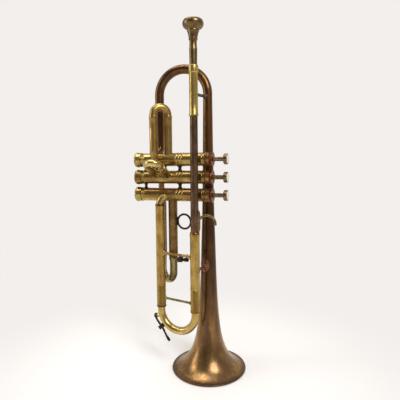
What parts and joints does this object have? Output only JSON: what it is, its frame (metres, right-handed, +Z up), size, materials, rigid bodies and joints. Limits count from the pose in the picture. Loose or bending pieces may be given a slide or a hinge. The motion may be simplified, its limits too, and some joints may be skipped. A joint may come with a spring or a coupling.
{
  "type": "trumpet",
  "caption": "Old unlacquered brass trumpet standing on its bell, with piston valves, pull-out slides, water key, finger ring and removable mouthpiece.",
  "frame": {"origin": "centre of the bounding box, at the plane the bell rim stands on", "axes": "+Z up the bell axis to the mouthpiece, +X along the valves towards the finger buttons, -Y towards the lead pipe and second slide"},
  "size_m": [0.1695, 0.131, 0.528],
  "materials": {
    "aged_brass": "aged, unlacquered",
    "dark_brass": "dark brown patina",
    "bright_brass": "polished by handling",
    "bell_brass": "brown patina, rubbed at the flare",
    "red_brass": "reddish patina",
    "bronze": "dull, worn",
    "nickel_silver": "lapped",
    "spring_steel": "drawn wire",
    "mother_of_pearl": "polished shell",
    "cork": "dark, soaked"
  },
  "bodies": {
    "horn": {"bell": "bell_brass", "bell_brace_lower": "dark_brass", "bell_brace_upper": "dark_brass", "bottom_cap_1": "aged_brass", "bottom_cap_2": "aged_brass", "bottom_cap_3": "aged_brass", "casing_1": "aged_brass", "casing_2": "aged_brass", "casing_3": "aged_brass", "finger_ring": "dark_brass", "first_tube_left": "aged_brass", "first_tube_right": "aged_brass", "knuckle_12": "aged_brass", "knuckle_23": "aged_brass", "leadpipe": "dark_brass", "leadpipe_brace": "dark_brass", "lower_elbow": "bright_brass", "lyre_screw": "dark_brass", "lyre_socket": "dark_brass", "outer_brace": "aged_brass", "pinky_hook": "aged_brass", "post_12_left": "dark_brass", "post_12_right": "dark_brass", "post_23_left": "dark_brass", "post_23_right": "dark_brass", "receiver": "aged_brass", "second_tube_left": "aged_brass", "second_tube_right": "aged_brass", "slide_tube_lower": "aged_brass", "slide_tube_upper": "aged_brass", "third_tube_far": "aged_brass", "third_tube_near": "aged_brass", "top_cap_1": "red_brass", "top_cap_2": "red_brass", "top_cap_3": "red_brass", "valve_spring_1": "spring_steel", "valve_spring_2": "spring_steel", "valve_spring_3": "spring_steel"},
    "mouthpiece": {"mouthpiece": "bronze"},
    "tuning_slide": {"tuning_crook": "bright_brass", "tuning_leg_upper": "aged_brass", "tuning_leg_lower": "aged_brass", "tuning_brace": "dark_brass", "water_key_saddle": "dark_brass", "water_key_pin": "spring_steel", "water_key_spring": "spring_steel"},
    "water_key": {"water_key": "dark_brass", "water_key_cork": "cork"},
    "first_slide": {"first_slide": "aged_brass"},
    "second_slide": {"second_slide": "bright_brass"},
    "third_slide": {"third_slide": "aged_brass"},
    "valve_1": {"piston_1": "nickel_silver", "button_1": "aged_brass", "pearl_1": "mother_of_pearl"},
    "valve_2": {"piston_2": "nickel_silver", "button_2": "aged_brass", "pearl_2": "mother_of_pearl"},
    "valve_3": {"piston_3": "nickel_silver", "button_3": "aged_brass", "pearl_3": "mother_of_pearl"}
  },
  "joints": [
    {"name": "valve_1_press", "type": "slide", "parent": "horn", "child": "valve_1", "axis": [-1, 0, 0], "range_m": [0, 0.0165], "stiffness_N_per_m": 110, "springref_m": -0.014, "deforming": ["valve_spring_1"]},
    {"name": "valve_2_press", "type": "slide", "parent": "horn", "child": "valve_2", "axis": [-1, 0, 0], "range_m": [0, 0.0165], "stiffness_N_per_m": 110, "springref_m": -0.014, "deforming": ["valve_spring_2"]},
    {"name": "valve_3_press", "type": "slide", "parent": "horn", "child": "valve_3", "axis": [-1, 0, 0], "range_m": [0, 0.0165], "stiffness_N_per_m": 110, "springref_m": -0.014, "deforming": ["valve_spring_3"]},
    {"name": "tuning_slide_pull", "type": "slide", "parent": "horn", "child": "tuning_slide", "axis": [0, 0, -1], "range_m": [0, 0.035]},
    {"name": "water_key_open", "type": "hinge", "parent": "tuning_slide", "child": "water_key", "pos_m": [-0.04144, -0.0244, 0.07106], "axis": [-0.1344, -0.9909, 0], "range_deg": [0, 14], "stiffness_Nm_per_rad": 0.05, "springref_deg": -20.05, "deforming": ["water_key_spring"]},
    {"name": "first_slide_pull", "type": "slide", "parent": "horn", "child": "first_slide", "axis": [0, 0, 1], "range_m": [0, 0.03]},
    {"name": "second_slide_pull", "type": "slide", "parent": "horn", "child": "second_slide", "axis": [0, -0.9063, 0.4226], "range_m": [0, 0.012]},
    {"name": "third_slide_pull", "type": "slide", "parent": "horn", "child": "third_slide", "axis": [0, 0, -1], "range_m": [0, 0.03]},
    {"name": "mouthpiece_lift", "type": "slide", "parent": "horn", "child": "mouthpiece", "axis": [0, 0, 1], "range_m": [0, 0.03]}
  ]
}
